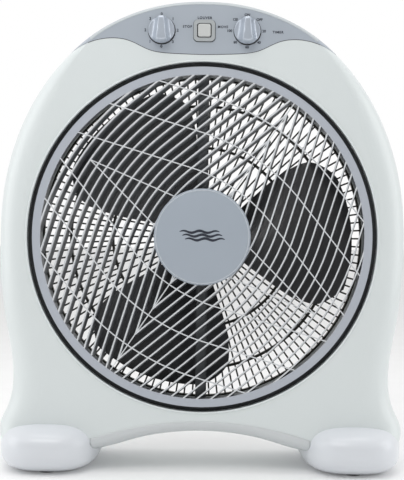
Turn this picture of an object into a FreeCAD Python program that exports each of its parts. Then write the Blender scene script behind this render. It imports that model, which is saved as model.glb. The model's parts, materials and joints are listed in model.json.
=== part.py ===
import FreeCAD, Part
import math
import os
import Sketcher
from FreeCAD import Placement, Rotation, Vector

# Louvred box fan on two feet. Origin on the floor under the middle of the fan,
# -Y towards the person in front, +X to that person's right, +Z up.

doc = FreeCAD.newDocument("box_fan")

# ---------------------------------------------------------------- driving dimensions

DIMENSIONS = {
    # housing
    "axis_height": 265.0,
    "half_width": 231.0,
    "crown_rise": 267.5,
    "crown_power": 2.12,
    "face_depth": 62.0,
    "back_depth": 66.0,
    "skin": 2.5,
    "edge_depth": 28.0,
    "side_round": 30.0,
    "waist_round": 36.0,
    "crown_round": 7.0,
    "arch_round": 12.0,
    "arch_height": 43.5,
    "arch_radius": 292.0,
    "opening_radius": 196.5,
    "duct_radius": 198.0,
    "grille_seat": 6.0,
    # feet
    "foot_inner": 115.0,
    "foot_outer": 230.0,
    "foot_half_depth": 90.0,
    "foot_height": 58.0,
    "foot_middle": 26.0,
    # louver grille
    "ring_outer": 191.0,
    "ring_inner": 182.0,
    "louver_front": 61.0,
    "louver_depth": 14.0,
    "vane_pitch": 10.0,
    "vane_first": 2.75,
    "vane_width": 1.55,
    "vane_lean": 2.75,
    "vane_offset": 121.0,
    "vane_half_angle": 16.7,
    "louver_turn": 34.0,
    "rib_width": 1.2,
    "rib_depth": 2.5,
    "rib_half_angle": 17.2,
    "hub_radius": 53.5,
    "cap_radius": 54.2,
    "cap_rise": 9.0,
    # louver drive and bridge
    "bridge_front": 42.0,
    "bridge_thick": 10.0,
    "bridge_width": 12.5,
    "cup_radius": 29.0,
    "cup_depth": 15.0,
    "ring_width": 14.0,
    "ring_thick": 3.5,
    "louver_motor_radius": 25.0,
    "louver_motor_depth": 14.0,
    "louver_shaft_radius": 3.5,
    # fan blade
    "blade_radius": 176.0,
    "blade_hub_radius": 40.0,
    "blade_hub_front": 15.0,
    "blade_hub_depth": 19.0,
    "blade_thick": 1.8,
    # motor
    "shaft_radius": 4.0,
    "motor_radius": 43.0,
    "motor_front": 8.0,
    "motor_split": 34.0,
    "motor_back": 60.0,
    "stator_outer": 40.3,
    "stator_inner": 22.5,
    "stack_front": 24.0,
    "stack_depth": 20.0,
    "rotor_radius": 22.1,
    "bearing_radius": 8.0,
    "bearing_length": 8.0,
    # rear grille
    "grille_radius": 205.0,
    "grille_plate": 52.0,
    "grille_ring": 3.0,
    "grille_inner_ring": 111.0,
    "grille_middle_ring": 163.0,
    "grille_rim": 196.0,
    "spoke_width": 2.0,
    # controls
    "control_height": 496.0,
    "knob_spacing": 48.0,
    "knob_radius": 14.75,
    "knob_skirt": 4.5,
    "knob_rise": 15.0,
    "spindle_radius": 3.0,
    "bushing_radius": 4.5,
    "panel_depth": 14.0,
    "bezel_half": 12.0,
    "button_half": 7.1,
    "rocker_tilt": 6.0,
    # fasteners
    "screw_radius": 1.9,
    "screw_head": 3.8,
}

sheet = doc.addObject("Spreadsheet::Sheet", "Dims")
for row, (alias, value) in enumerate(DIMENSIONS.items(), start=1):
    sheet.set("A%d" % row, alias)
    sheet.set("B%d" % row, str(value))
    sheet.setAlias("B%d" % row, alias)
doc.recompute()


def size(text):
    """Value of an alias, a number, or a sum of them such as 'skin + 2 - edge'."""
    total = 0.0
    sign = 1.0
    for word in str(text).split():
        if word in "+-":
            sign = 1.0 if word == "+" else -1.0
            continue
        amount = float(sheet.get(word)) if word[0].isalpha() else float(word)
        total += sign * amount
        sign = 1.0
    return total


def formula(text):
    """The same sum written for the expression engine."""
    words = ["Dims." + word if word[0].isalpha() else word for word in str(text).split()]
    return " ".join(words)


AXIS_Z = size("axis_height")
SKIN = size("skin")
nodes = []


def keep(item, label):
    """Register an object of the document as a finished piece."""
    item.Label = label
    nodes.append(item)
    return item


def free_shape(label, shape, place=None):
    """A piece whose surfaces are swept, lofted or cut with Part's own functions."""
    item = doc.addObject("Part::Feature", label)
    item.Shape = shape
    item.Placement = place or Placement()
    return keep(item, label)


def bind_place(item, x="0", y="0", z="axis_height"):
    item.setExpression("Placement.Base.x", formula(x))
    item.setExpression("Placement.Base.y", formula(y))
    item.setExpression("Placement.Base.z", formula(z))


# ---------------------------------------------------------------- sketch helpers

def plane_of(body, role):
    return [item for item in body.Origin.OriginFeatures if item.Role == role][0]


def new_sketch(body, name, role):
    sketch = body.newObject("Sketcher::SketchObject", name)
    sketch.AttachmentSupport = [(plane_of(body, role), "")]
    sketch.MapMode = "FlatFace"
    return sketch


def pin_vertex(sketch, line, corner):
    """Fix the start of a line at a corner given by two sums of aliases."""
    for axis, (kind, text) in enumerate(zip(("DistanceX", "DistanceY"), corner)):
        amount = size(text)
        if abs(amount) < 1e-9:
            sketch.addConstraint(Sketcher.Constraint("PointOnObject", line, 1, -2 + axis))
            continue
        index = sketch.addConstraint(Sketcher.Constraint(kind, -1, 1, line, 1, amount))
        if any(character.isalpha() for character in str(text)):
            sketch.setExpression("Constraints[%d]" % index, formula(text))


def polygon(sketch, corners):
    points = [Vector(size(x), size(y), 0) for x, y in corners]
    first = sketch.GeometryCount
    count = len(points)
    for index in range(count):
        sketch.addGeometry(Part.LineSegment(points[index], points[(index + 1) % count]), False)
    for index in range(count):
        after = first + (index + 1) % count
        sketch.addConstraint(Sketcher.Constraint("Coincident", first + index, 2, after, 1))
    for index, corner in enumerate(corners):
        pin_vertex(sketch, first + index, corner)


def turned(label, start, profile, x="0", z="axis_height"):
    """A piece turned about a Y axis; the profile lists (radius, distance behind start)."""
    body = doc.addObject("PartDesign::Body", label)
    sketch = new_sketch(body, label + "_profile", "XY_Plane")
    polygon(sketch, profile)
    turn = body.newObject("PartDesign::Revolution", label + "_turn")
    turn.Profile = sketch
    turn.ReferenceAxis = (sketch, ["V_Axis"])
    turn.Angle = 360
    bind_place(body, x, start, z)
    return keep(body, label)


# ---------------------------------------------------------------- Part helpers

def rod(radius, low, high, x=0.0, z=AXIS_Z):
    """Cylinder along Y between two stations."""
    return Part.makeCylinder(radius, high - low, Vector(x, low, z), Vector(0, 1, 0))


def tube(outer, inner, low, high, x=0.0, z=AXIS_Z):
    return rod(outer, low, high, x, z).cut(rod(inner, low - 1, high + 1, x, z))


def block(x_low, x_high, y_low, y_high, z_low, z_high):
    corner = Vector(x_low, y_low, z_low)
    return Part.makeBox(x_high - x_low, y_high - y_low, z_high - z_low, corner)


def smooth_step(value):
    value = min(1.0, max(0.0, value))
    return value * value * (3 - 2 * value)


def on_circle(radius, degrees):
    angle = math.radians(degrees)
    return radius * math.cos(angle), radius * math.sin(angle)


def spline_wire(points, closed=True):
    curve = Part.BSplineCurve()
    curve.interpolate(points, PeriodicFlag=closed)
    return Part.Wire([curve.toShape()])


# ---------------------------------------------------------------- housing

# Half of the side outline below the fan's axis: height, half width, width of the
# rounded edge. It narrows to a waist and flares out into the feet.
SIDE_STATIONS = [
    (32.0, 226.0, 12.0),
    (43.0, 229.5, 20.0),
    (54.0, 228.0, 30.0),
    (65.0, 223.0, 34.0),
    (78.0, 218.0, 36.0),
    (100.0, 214.8, 36.0),
    (124.0, 216.0, 35.0),
    (148.0, 220.0, 33.0),
    (176.0, 225.0, 31.0),
    (204.0, 228.5, 30.0),
    (234.0, 230.5, 30.0),
]
# The bottom edge that is hidden inside a foot.
HIDDEN_CORNER = [(126.0, 20.0), (150.0, 15.0), (186.0, 15.0), (212.0, 19.0)]
CROWN_ANGLES = [0, 8, 17, 26, 35, 43, 50, 57, 64, 71, 78, 84, 90]


def half_outline():
    """Right half of the outline from the arch's middle up to the crown, with edge widths."""
    points = []
    for x in (0.0, 35.0, 70.0, 100.0):
        drop = x * x / (2 * size("arch_radius"))
        points.append((x, size("arch_height") - drop, size("arch_round")))
    for x, z in HIDDEN_CORNER:
        points.append((x, z, size("arch_round")))
    for z, x, width in SIDE_STATIONS:
        points.append((x, z, width))
    for degrees in CROWN_ANGLES:
        angle = math.radians(degrees)
        blend = smooth_step((degrees - 22.0) / 40.0)
        width = size("side_round") * (1 - blend) + size("crown_round") * blend
        flatter = 2 / size("crown_power")
        x = size("half_width") * max(0.0, math.cos(angle)) ** flatter
        z = AXIS_Z + size("crown_rise") * math.sin(angle) ** flatter
        points.append((x, z, width))
    return points


def full_outline():
    right = half_outline()
    left = [(-x, z, width) for x, z, width in right[-2:0:-1]]
    return right + left


OUTLINE = full_outline()


def inward_normals(outline):
    normals = []
    count = len(outline)
    for index in range(count):
        x0, z0 = outline[index - 1][:2]
        x1, z1 = outline[(index + 1) % count][:2]
        along = Vector(x1 - x0, 0, z1 - z0).normalize()
        normals.append(Vector(-along.z, 0, along.x))
    return normals


NORMALS = inward_normals(OUTLINE)


def section_wire(y, share, inset, widest):
    """Outline moved inwards by inset plus a share of each point's edge width."""
    points = []
    for (x, z, width), normal in zip(OUTLINE, NORMALS):
        shift = inset + share * max(2.0, min(width, widest) - inset)
        points.append(Vector(x, y, z) + normal * shift)
    return spline_wire(points)


def housing_form(direction, depth, edge_depth, widest, inset, open_end):
    """Solid of one housing half, rounded towards its face; inset gives its inside."""
    start = -direction * open_end
    straight = direction * (depth - edge_depth)
    reach = depth - inset
    sections = [section_wire(start + (straight - start) * part, 0.0, inset, widest)
                for part in (0.0, 0.45, 0.8, 0.93, 1.0)]
    for degrees in (8, 20, 34, 48, 62, 76, 90):
        angle = math.radians(degrees)
        y = direction * (depth - edge_depth + (reach - depth + edge_depth) * math.sin(angle))
        sections.append(section_wire(y, 1 - math.cos(angle), inset, widest))
    return Part.makeLoft(sections, True, False)


def superellipse(count, power):
    for index in range(count):
        angle = 2 * math.pi * index / count
        cosine, sine = math.cos(angle), math.sin(angle)
        yield (math.copysign(abs(cosine) ** (2 / power), cosine),
               math.copysign(abs(sine) ** (2 / power), sine))


def foot_form(side, inset):
    """Bulbous foot: rounded-box sections that shrink towards both ends."""
    power = 2.8
    middle = (size("foot_outer") + size("foot_inner")) / 2
    reach = (size("foot_outer") - size("foot_inner")) / 2 - inset
    half_depth = size("foot_half_depth") - inset
    centre = size("foot_middle")
    rise = size("foot_height") - centre - inset
    fall = centre + 4.0
    sections = []
    for place in (-0.997, -0.985, -0.95, -0.88, -0.75, -0.5, 0.0,
                  0.5, 0.75, 0.88, 0.95, 0.985, 0.997):
        scale = (1 - abs(place) ** power) ** (1 / power)
        points = []
        for across, up in superellipse(40, power):
            height = rise if up > 0 else fall
            points.append(Vector(side * (middle + place * reach), across * scale * half_depth,
                                 centre + up * scale * height))
        sections.append(spline_wire(points))
    return Part.makeLoft(sections, True, False)


def corner_posts():
    """Places of the housing screws: lower corners, arch and shoulders."""
    return [(side * x, z) for x, z in ((172.0, 92.0), (96.0, 60.0), (122.0, 439.0))
            for side in (-1, 1)]


GRIP_HALF = 52.0
GRIP_LOW = 484.0
GRIP_HIGH = 511.0
GRIP_DEPTH = 26.0
GLAND_PLACE = (150.0, 84.0)
GLAND_RADIUS = 6.5
GRILLE_EARS = (45, 135, 225, 315)
EAR_CENTRE = 207.0
EAR_RADIUS = 8.0
PANEL_POSTS = (96.0, 494.0)
HEAD_SEAT = 28.0
TIMER_SCREW_RISE = 9.5
FOOT_SCREW_X = 172.0
FOOT_SCREW_Y = 30.0


def panel_prism(drop, back):
    """Everything above the panel's wavy lower edge, from the front back to a station."""
    half = [(0.0, 469.5), (24.0, 470.0), (46.0, 471.2), (62.0, 474.4), (74.0, 480.0),
            (86.0, 485.0), (102.0, 487.2), (118.0, 485.4), (134.0, 480.0), (150.0, 472.0)]
    wave = [Vector(-x, -80, z - drop) for x, z in reversed(half[1:])]
    wave += [Vector(x, -80, z - drop) for x, z in half]
    curve = Part.BSplineCurve()
    curve.interpolate(wave)
    right, left = wave[-1], wave[0]
    top_right = Vector(right.x, -80, 600)
    top_left = Vector(left.x, -80, 600)
    edges = [curve.toShape(), Part.makeLine(right, top_right),
             Part.makeLine(top_right, top_left), Part.makeLine(top_left, left)]
    return Part.Face(Part.Wire(edges)).extrude(Vector(0, 80 + back, 0))


def foot_posts(side, direction):
    """Post above a foot and the rib that ties it to the housing's face."""
    depth = size("face_depth") if direction < 0 else size("back_depth")
    x = side * FOOT_SCREW_X
    post = Part.makeCylinder(5, 36, Vector(x, direction * FOOT_SCREW_Y, 44))
    y_low, y_high = sorted((direction * FOOT_SCREW_Y, direction * (depth - 1)))
    rib = block(x - 1.2, x + 1.2, y_low, y_high, 56, 80)
    hole = Part.makeCylinder(2, 40, Vector(x, direction * FOOT_SCREW_Y, 30))
    return post.fuse(rib), hole


def make_front(feet):
    face = -size("face_depth")
    duct = size("duct_radius")
    depths = (size("face_depth"), size("edge_depth"), 99.0)
    outer = housing_form(-1, *depths, 0.0, 0.0)
    hollow = outer.cut(housing_form(-1, *depths, SKIN, 1.0))
    panel = hollow.common(panel_prism(0.0, -size("panel_depth")))
    additions = [tube(duct + SKIN, duct, face + 1.2, 0)]
    cuts = list(feet)
    for x, z in corner_posts():
        additions.append(rod(5, face + 1.2, 0, x, z))
        cuts.append(rod(2, -30, 1, x, z))
    for side in (-1, 1):
        post, hole = foot_posts(side, -1)
        additions.append(post)
        cuts.append(hole)
    cuts.append(rod(size("opening_radius"), face - 5, 5))
    for end in (-duct - 5, duct - 2):
        cuts.append(Part.makeCylinder(2, 8, Vector(0, -size("bridge_front") + 14, AXIS_Z + end)))
    cuts.append(panel_prism(0.45, -size("panel_depth") + 0.45))
    return hollow.multiFuse(additions).cut(cuts), panel


def make_rear(feet):
    back = size("back_depth")
    duct = size("duct_radius")
    seat = back - size("grille_seat")
    outer = housing_form(1, back, 30.0, 20.0, 0.0, 0.0)
    hollow = outer.cut(housing_form(1, back, 30.0, 20.0, SKIN, 1.0))
    additions = [tube(duct + SKIN, duct, 0, seat),
                 tube(size("grille_radius") + 3, duct, seat - SKIN, back)]
    cuts = list(feet)
    cuts += [rod(size("grille_radius") + 0.3, seat, back + 5), rod(duct, -5, back + 5)]
    for degrees in GRILLE_EARS:
        x, z = on_circle(EAR_CENTRE, degrees)
        additions.append(rod(EAR_RADIUS + 3, seat - 8, back, x, AXIS_Z + z))
        cuts.append(rod(EAR_RADIUS + 0.4, seat, back + 5, x, AXIS_Z + z))
        cuts.append(rod(1.6, seat - 12, back, x, AXIS_Z + z))
    for x, z in corner_posts() + [(-PANEL_POSTS[0], PANEL_POSTS[1]), PANEL_POSTS]:
        additions.append(rod(6, 0, back - 1.2, x, z))
        cuts.append(rod(2, -1, back + 1, x, z))
        cuts.append(rod(4.2, HEAD_SEAT, back + 1, x, z))
    additions.append(block(-GRIP_HALF - SKIN, GRIP_HALF + SKIN, back - GRIP_DEPTH - SKIN,
                           back - 1, GRIP_LOW - SKIN, GRIP_HIGH + SKIN))
    cuts.append(block(-GRIP_HALF, GRIP_HALF, back - GRIP_DEPTH, back + 5,
                      GRIP_LOW, GRIP_HIGH))
    cuts.append(rod(GLAND_RADIUS, back - 10, back + 5, *GLAND_PLACE))
    for side in (-1, 1):
        post, hole = foot_posts(side, 1)
        additions.append(post)
        cuts.append(hole)
    return hollow.multiFuse(additions).cut(cuts)


def finish_panel(panel):
    face = -size("face_depth")
    height = size("control_height")
    post_x, post_z = PANEL_POSTS
    additions = []
    cuts = []
    for side in (-1, 1):
        additions.append(rod(5, face + 1.2, -0.2, side * post_x, post_z))
        cuts.append(rod(2, -20, 1, side * post_x, post_z))
        cuts.append(rod(size("bushing_radius") + 0.1, face - 5, -40,
                        side * size("knob_spacing"), height))
        cuts.append(rod(1.6, face - 5, -40, size("knob_spacing"),
                        height + side * TIMER_SCREW_RISE))
    reach = size("bezel_half") - 1.5
    cuts.append(block(-reach, reach, face - 5, -40, height - reach, height + reach))
    return panel.multiFuse(additions).cut(cuts)


def biggest_solid(shape):
    """The one solid of a cut, without crumbs that the cut left loose."""
    return max(shape.Solids, key=lambda solid: solid.Volume)


FEET = [foot_form(side, 0.0) for side in (-1, 1)]
front, panel = make_front(FEET)
free_shape("front_shell", biggest_solid(front))
free_shape("rear_shell", biggest_solid(make_rear(FEET)))
free_shape("control_panel", biggest_solid(finish_panel(panel)))


PAD_RADIUS = 9.8


def make_foot(side):
    foot = foot_form(side, 0.0).cut(foot_form(side, SKIN))
    foot = foot.common(block(-300, 300, -100, 100, 1.0, 100))
    for direction in (-1, 1):
        place = Vector(side * FOOT_SCREW_X, direction * FOOT_SCREW_Y, 8)
        foot = foot.fuse(Part.makeCylinder(6, size("foot_height") - 10, place))
        foot = foot.cut(Part.makeCylinder(2, 80, place - Vector(0, 0, 10)))
        foot = foot.cut(Part.makeCylinder(4.2, 20, Vector(place.x, place.y, 0)))
        pad_seat = Part.makeCylinder(10, 54, Vector(place.x, direction * 56, 2.0))
        foot = foot.fuse(pad_seat.common(foot_form(side, 1.0)))
        foot = foot.cut(Part.makeCylinder(PAD_RADIUS + 0.3, 3, Vector(place.x, direction * 56, -1)))
    return biggest_solid(foot.common(foot_form(side, 0.0)))


free_shape("foot_left", make_foot(-1))
free_shape("foot_right", make_foot(1))

# ---------------------------------------------------------------- louver grille

# Ribs that cross the vanes, as distances from the middle of the grille.
CROSS_RIBS = (65.0, 106.5, 147.5)
DIAMOND_POINT = 153.0
DIAMOND_SLOPE = 0.195


def strip(offset_radius, half_angle, width, place, run):
    """Flat band along an arc that carries on straight at both ends for a run."""
    def at(radius, degrees, extra):
        angle = math.radians(degrees)
        sign = math.copysign(1.0, degrees)
        out = radius * math.cos(angle) - size("vane_offset") - extra * math.sin(abs(angle))
        across = radius * math.sin(angle) + sign * extra * math.cos(angle)
        return place(out, across)

    sides = []
    for radius in (offset_radius - width / 2, offset_radius + width / 2):
        low_end, low = at(radius, -half_angle, run), at(radius, -half_angle, 0)
        high, high_end = at(radius, half_angle, 0), at(radius, half_angle, run)
        arc = Part.Arc(low, at(radius, 0.0, 0), high).toShape()
        sides.append((low_end, low, arc, high, high_end))
    edges = []
    for low_end, low, arc, high, high_end in sides:
        if run > 0:
            edges += [Part.makeLine(low_end, low), Part.makeLine(high, high_end)]
        edges.append(arc)
    edges.append(Part.makeLine(sides[0][0], sides[1][0]))
    edges.append(Part.makeLine(sides[0][4], sides[1][4]))
    return Part.Face(Part.Wire(Part.__sortEdges__(edges)))


def bar(start, end, width):
    """Flat straight band between two points."""
    along = (end - start).normalize()
    across = Vector(-along.z, 0, along.x) * (width / 2)
    return Part.Face(Part.makePolygon([start - across, end - across, end + across,
                                       start + across, start - across]))


def vane_faces(annulus):
    """Vanes on both sides: concentric arcs that meet in points along the middle."""
    front = -size("louver_front")
    half_angle = size("vane_half_angle")
    sine = math.sin(math.radians(half_angle))
    faces = []
    for side in (-1, 1):
        for number in range(18):
            distance = size("vane_first") + number * size("vane_pitch")
            radius = size("vane_offset") + distance
            rise = radius * math.cos(math.radians(half_angle)) - size("vane_offset")
            run = min(rise / sine + 1.0, 190.0) if rise > 0 else 0.0

            def place(out, across, side=side):
                return Vector(side * out, front, across)

            band = strip(radius, half_angle, size("vane_width"), place, run)
            faces += band.common(annulus).Faces
    return faces


def rib_faces(annulus):
    """Thin ribs across the vanes, flush with the front."""
    front = -size("louver_front")
    width = size("rib_width")
    bands = []
    for side in (-1, 1):
        for distance in CROSS_RIBS:
            def place(out, across, side=side):
                return Vector(across, front, side * out)

            bands.append(strip(size("vane_offset") + distance, size("rib_half_angle"),
                               width, place, 190.0))
        tip = Vector(side * DIAMOND_POINT, front, 0)
        for slope in (-DIAMOND_SLOPE, DIAMOND_SLOPE):
            inner = side * 45.0
            end = Vector(inner, front, slope * (DIAMOND_POINT - 45.0))
            bands.append(bar(tip, end, width))
        bands.append(bar(Vector(0, front, side * 45.0), Vector(0, front, side * 187.0), width))
    faces = []
    for band in bands:
        faces += band.common(annulus).Faces
    return faces


def make_louver():
    front = -size("louver_front")
    back = front + size("louver_depth")
    hub = size("hub_radius")

    def flat_ring(outer, inner):
        circles = [Part.Wire(Part.makeCircle(radius, Vector(0, front, 0), Vector(0, 1, 0)))
                   for radius in (outer, inner)]
        return Part.makeFace(circles, "Part::FaceMakerCheese")

    annulus = flat_ring(185.5, 51.2)
    lean = Vector(size("vane_lean"), size("louver_depth"), 0)
    pieces = [face.extrude(lean) for face in vane_faces(annulus)]
    pieces += [face.extrude(Vector(0, size("rib_depth"), 0)) for face in rib_faces(annulus)]
    pieces.append(rod(hub, front, front + 3, 0, 0))
    pieces.append(tube(hub, hub - 5, front + 3, back, 0, 0))
    pieces.append(rod(9, front + 3, front + 11, 0, 0))
    ring = tube(size("ring_outer"), size("ring_inner"), front, back, 0, 0)
    grille = ring.multiFuse(pieces)
    return grille.cut(rod(size("louver_shaft_radius") + 0.05, front - 5, back + 5, 0, 0))


grille_turn = Placement(Vector(0, 0, AXIS_Z), Rotation(Vector(0, 1, 0), size("louver_turn")))
free_shape("louver_grille", biggest_solid(make_louver()), grille_turn)


def make_cap():
    """Shallow dome with a rounded rim, hollow behind for the shaft's nut."""
    radius = size("cap_radius")
    rise = size("cap_rise")
    back = -size("louver_front")
    crown = 4.5
    curve = (radius * radius + crown * crown) / (2 * crown)
    dome = Part.makeSphere(curve, Vector(0, back - rise + curve, AXIS_Z))
    cap = rod(radius, back - rise, back).common(dome)
    rim = [edge for edge in cap.Edges
           if edge.Length > 2 * math.pi * (radius - 0.5) and edge.BoundBox.YMax < back - 1]
    cap = cap.makeFillet(2.2, rim)
    return cap.cut(rod(radius - 3, back - 3, back + 1)).cut(rod(12, back - 6, back + 1))


free_shape("louver_cap", make_cap())


# ---------------------------------------------------------------- simple solids in the tree

def cylinder_object(name, radius, length, start, x="0", z="axis_height"):
    item = doc.addObject("Part::Cylinder", name)
    item.setExpression("Radius", formula(radius))
    item.setExpression("Height", formula(length))
    item.Placement = Placement(Vector(0, 0, 0), Rotation(Vector(1, 0, 0), -90))
    bind_place(item, x, start, z)
    return item


def box_object(name, widths, start, x="0", z="control_height"):
    """Box centred on x and z that runs backwards from start."""
    across, depth, high = widths
    item = doc.addObject("Part::Box", name)
    item.setExpression("Length", formula(across))
    item.setExpression("Width", formula(depth))
    item.setExpression("Height", formula(high))
    item.setExpression("Placement.Base.x", "%s - (%s) / 2" % (formula(x), formula(across)))
    item.setExpression("Placement.Base.y", formula(start))
    item.setExpression("Placement.Base.z", "%s - (%s) / 2" % (formula(z), formula(high)))
    return item


def drilled(label, base, tools):
    """A piece with everything in tools cut out of it."""
    for number, tool in enumerate(tools):
        cut = doc.addObject("Part::Cut", "%s_cut_%d" % (label, number))
        cut.Base = base
        cut.Tool = tool
        base = cut
    return keep(base, label)


def sleeve(label, outer, inner, length, start, x="0", z="axis_height"):
    """Plain ring or bush around a Y axis."""
    return drilled(label, cylinder_object(label + "_outside", outer, length, start, x, z),
                   [cylinder_object(label + "_bore", inner, length, start, x, z)])


# ---------------------------------------------------------------- louver drive and bridge

def make_bridge():
    front = -size("bridge_front")
    back = front + size("bridge_thick")
    half = size("bridge_width") / 2
    reach = size("duct_radius") - 1.2
    cup_front = back + 0.5 - size("cup_depth")
    bridge = block(-half, half, front, back, AXIS_Z - reach, AXIS_Z + reach)
    edges = [edge for edge in bridge.Edges
             if edge.Length > reach and edge.BoundBox.YMax < front + 0.1]
    bridge = bridge.makeFillet(2.0, edges)
    additions = [rod(size("cup_radius"), cup_front, back + 0.5)]
    cuts = [rod(size("louver_motor_radius") + 0.2, cup_front - 1, back - 1.5)]
    for side in (-1, 1):
        z_low, z_high = sorted((AXIS_Z + side * (reach - 3), AXIS_Z + side * reach))
        additions.append(block(-9, 9, front, front + 20, z_low, z_high))
        cuts.append(Part.makeCylinder(2, 20, Vector(0, front + 14, AXIS_Z + side * reach - 10)))
        additions.append(rod(4.5, cup_front, back, side * 30.5))
        cuts.append(rod(1.6, cup_front - 1, back - 2, side * 30.5))
    return bridge.multiFuse(additions).cut(cuts)


free_shape("front_bridge", biggest_solid(make_bridge()))

# flat ring on the bridge that closes the gap round the louver from behind
turned("duct_ring", "- bridge_front - ring_thick",
       [("duct_radius - ring_width", "0"), ("duct_radius - 0.3", "0"),
        ("duct_radius - 0.3", "ring_thick"), ("duct_radius - ring_width", "ring_thick")])

turned("louver_motor_body", "- bridge_front - 4.5",
       [("0", "0"), ("louver_motor_radius - 1.5", "0"), ("louver_motor_radius", "1.5"),
        ("louver_motor_radius", "louver_motor_depth - 1.5"),
        ("louver_motor_radius - 1.5", "louver_motor_depth - 1"),
        ("0", "louver_motor_depth - 1")])


def make_motor_flange():
    """Gearbox cover of the louver motor with its two screw ears."""
    back = -size("bridge_front") - 4.5
    plate = rod(17, back - 1.2, back)
    plate = plate.fuse(block(-36, 36, back - 1.2, back, AXIS_Z - 5, AXIS_Z + 5))
    plate = plate.fuse(rod(7, back - 2.6, back - 1.2))
    holes = [rod(1.8, back - 5, back + 1, side * 30.5) for side in (-1, 1)]
    holes.append(rod(size("louver_shaft_radius") + 0.05, back - 5, back + 1))
    return plate.cut(holes)


free_shape("louver_motor_flange", make_motor_flange())

keep(cylinder_object("louver_motor_shaft_rod", "louver_shaft_radius", "18.9",
                     "- bridge_front - 4.5 - 18.9"), "louver_motor_shaft")


def hexagon(across_flats, low, high, x, z):
    radius = across_flats / math.sqrt(3)
    corners = [Vector(x + radius * math.cos(math.radians(60 * k)), low,
                      z + radius * math.sin(math.radians(60 * k))) for k in range(7)]
    return Part.Face(Part.makePolygon(corners)).extrude(Vector(0, high - low, 0))


louver_front = -size("louver_front")
louver_nut = hexagon(10, louver_front - 3.3, louver_front, 0, AXIS_Z)
free_shape("louver_nut", louver_nut.cut(rod(size("louver_shaft_radius"), -80, 0)))


# ---------------------------------------------------------------- fan blade

BLADE_MIDDLES = (4.0, 131.0, 250.0)


def blade_edge_angles(radius):
    """Angles of a blade's lower and upper edge, which pull in at the tip corners."""
    tip = size("blade_radius")
    share = (radius - 36.0) / (tip - 36.0)
    spread = 33.0 + 4.5 * math.sin(math.pi * min(1.0, share * 1.05))
    corner = max(0.0, (radius - 140.0) / (tip - 140.0))
    lower = -spread + 9.0 * corner ** 2.6
    upper = spread - 2.0 - 11.0 * corner ** 3.2
    return lower, upper


def blade_surface(middle, lift):
    """Twisted sheet: steep at the hub and flatter at the tip, dished along its width."""
    tip = size("blade_radius")
    rows = []
    for step in range(9):
        radius = 36.0 + (tip - 36.0) * (step / 8) ** 0.9
        lower, upper = blade_edge_angles(radius)
        row = []
        for place in range(9):
            across = place / 8
            degrees = middle + lower + (upper - lower) * across
            rise = 17.0 - 3.0 * step / 8
            sweep = (across - 0.5) * 2
            y = -4.0 + rise * sweep + 3.0 * (sweep * sweep - 0.5) + lift
            x, z = on_circle(radius, degrees)
            row.append(Vector(x, y, AXIS_Z + z))
        rows.append(row)
    surface = Part.BSplineSurface()
    surface.interpolate(rows)
    return surface


def one_blade(middle):
    front = blade_surface(middle, 0.0)
    back = blade_surface(middle, size("blade_thick"))
    faces = [front.toShape(), back.toShape()]
    limits = front.bounds()
    for getter in ("uIso", "vIso"):
        ends = limits[0:2] if getter == "uIso" else limits[2:4]
        for value in ends:
            near = getattr(front, getter)(value).toShape()
            far = getattr(back, getter)(value).toShape()
            faces.append(Part.makeRuledSurface(near, far))
    shell = Part.makeShell(faces)
    shell.sewShape()
    solid = Part.Solid(shell)
    if solid.Volume < 0:
        solid.reverse()
    return solid


def make_blade():
    front = -size("blade_hub_front")
    back = front + size("blade_hub_depth")
    radius = size("blade_hub_radius")
    hub = rod(radius, front, back)
    rim = [edge for edge in hub.Edges if edge.BoundBox.YMax < front + 0.1]
    hub = hub.makeFillet(4.0, rim)
    hub = hub.cut(rod(radius - 2.5, front + 3, back + 1))
    hub = hub.fuse(rod(9, front + 2, 1.5))
    blades = [one_blade(middle) for middle in BLADE_MIDDLES]
    ribs = []
    for degrees in range(0, 360, 60):
        rib = block(8, radius - 1, front + 2, back - 6, -0.8, 0.8)
        rib.rotate(Vector(0, 0, 0), Vector(0, 1, 0), degrees)
        rib.translate(Vector(0, 0, AXIS_Z))
        ribs.append(rib)
    inside = rod(radius - 2.5, front + 3, back + 30)
    room = [inside, rod(radius - 1, -60, front + 3), rod(radius + 9, back + 0.5, back + 40)]
    trimmed = [blade.cut(room) for blade in blades]
    whole = hub.multiFuse(trimmed + ribs)
    slot = block(-8, 8, -1.55, 5, AXIS_Z - 1.6, AXIS_Z + 1.6)
    return whole.cut([rod(size("shaft_radius") + 0.05, front - 5, 30), slot])


free_shape("blade", biggest_solid(make_blade()))


def make_spinner():
    """Domed nut that holds the blade on its shaft."""
    back = -size("blade_hub_front") - 0.1
    dome = Part.makeSphere(13, Vector(0, back, AXIS_Z)).common(rod(14, back - 14, back))
    flutes = []
    for k in range(8):
        x, z = on_circle(14.2, 45 * k)
        flutes.append(rod(2.6, back - 12, back - 2.5, x, AXIS_Z + z))
    return dome.cut(flutes + [rod(size("shaft_radius"), back - 8, back + 1)])


free_shape("blade_nut", make_spinner())

shaft = cylinder_object("motor_shaft_rod", "shaft_radius", "80.9", "- blade_hub_front - 7.9")
pin_hole = cylinder_object("motor_shaft_hole", "1.5", "20", "0", "0 - 10")
pin_hole.Placement.Rotation = Rotation(Vector(0, 1, 0), 90)
drilled("motor_shaft", shaft, [pin_hole])

drive_pin = cylinder_object("blade_pin_rod", "1.5", "15", "0", "0 - 7.5")
drive_pin.Placement.Rotation = Rotation(Vector(0, 1, 0), 90)
keep(drive_pin, "blade_drive_pin")


# ---------------------------------------------------------------- motor

bell_screw_ring = 28.0


def bell_holes(low, high):
    return [rod(2, low, high, *(on_circle(bell_screw_ring, 45 + 90 * k)[0],
                                AXIS_Z + on_circle(bell_screw_ring, 45 + 90 * k)[1]))
            for k in range(4)]


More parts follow.
